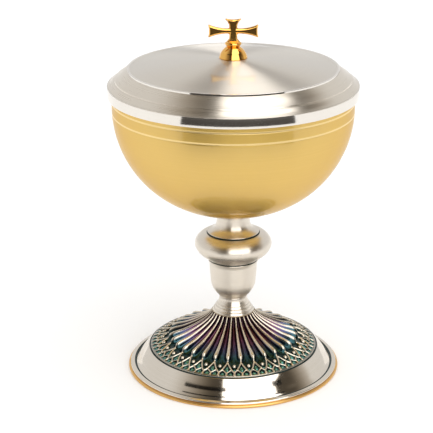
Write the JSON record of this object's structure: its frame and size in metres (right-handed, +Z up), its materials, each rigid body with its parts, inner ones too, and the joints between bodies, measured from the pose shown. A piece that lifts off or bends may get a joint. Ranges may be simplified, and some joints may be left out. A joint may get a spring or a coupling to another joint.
{
  "type": "ciborium vessel",
  "caption": "Covered standing cup for altar use: gilt bowl on a knopped stem and fluted round foot, with a lift-off domed lid that carries a cross.",
  "frame": {"origin": "centre of the foot where it stands on the table", "axes": "+Z up along the vessel's axis; +X along the arms of the cross on the lid, +Y through the front of the cross to its back"},
  "size_m": [0.1336, 0.1336, 0.1969],
  "materials": {
    "gold_satin": "satin gilt, brushed round the axis",
    "gold_polished": "polished gilt",
    "silver_satin": "satin silver plate, brushed round the axis",
    "silver_lid": "satin silver plate with a polished band",
    "silver_relief": "cast silver plate with dark enamel in the recesses",
    "inner_brass": "plain turned",
    "inner_steel": "bright zinc"
  },
  "bodies": {
    "base": {"foot_rim_wire": "gold_polished", "foot_flange": "silver_satin", "foot_casting": "silver_relief", "lower_collar": "silver_satin", "stem_urn": "silver_satin", "knop": "silver_satin", "neck_collar": "silver_satin", "clamp_plate": "inner_brass", "lock_washer": "inner_steel", "tie_nut": "inner_steel", "tie_rod": "inner_steel", "bowl_shell": "gold_satin", "bowl_boss": "inner_brass"},
    "lid_carrier": {"finial_washer": "inner_steel"},
    "lid": {"lid_shell": "silver_lid", "lid_seat_ring": "silver_satin", "finial_screw": "inner_steel", "finial_boss": "gold_polished", "finial_cross": "gold_polished"}
  },
  "joints": [
    {"name": "lid_lift", "type": "slide", "parent": "base", "child": "lid_carrier", "axis": [0, 0, 1], "range_m": [0, 0.1]},
    {"name": "lid_turn", "type": "hinge", "parent": "lid_carrier", "child": "lid", "pos_m": [0, 0, 0.17], "axis": [0, 0, 1], "continuous": true}
  ]
}
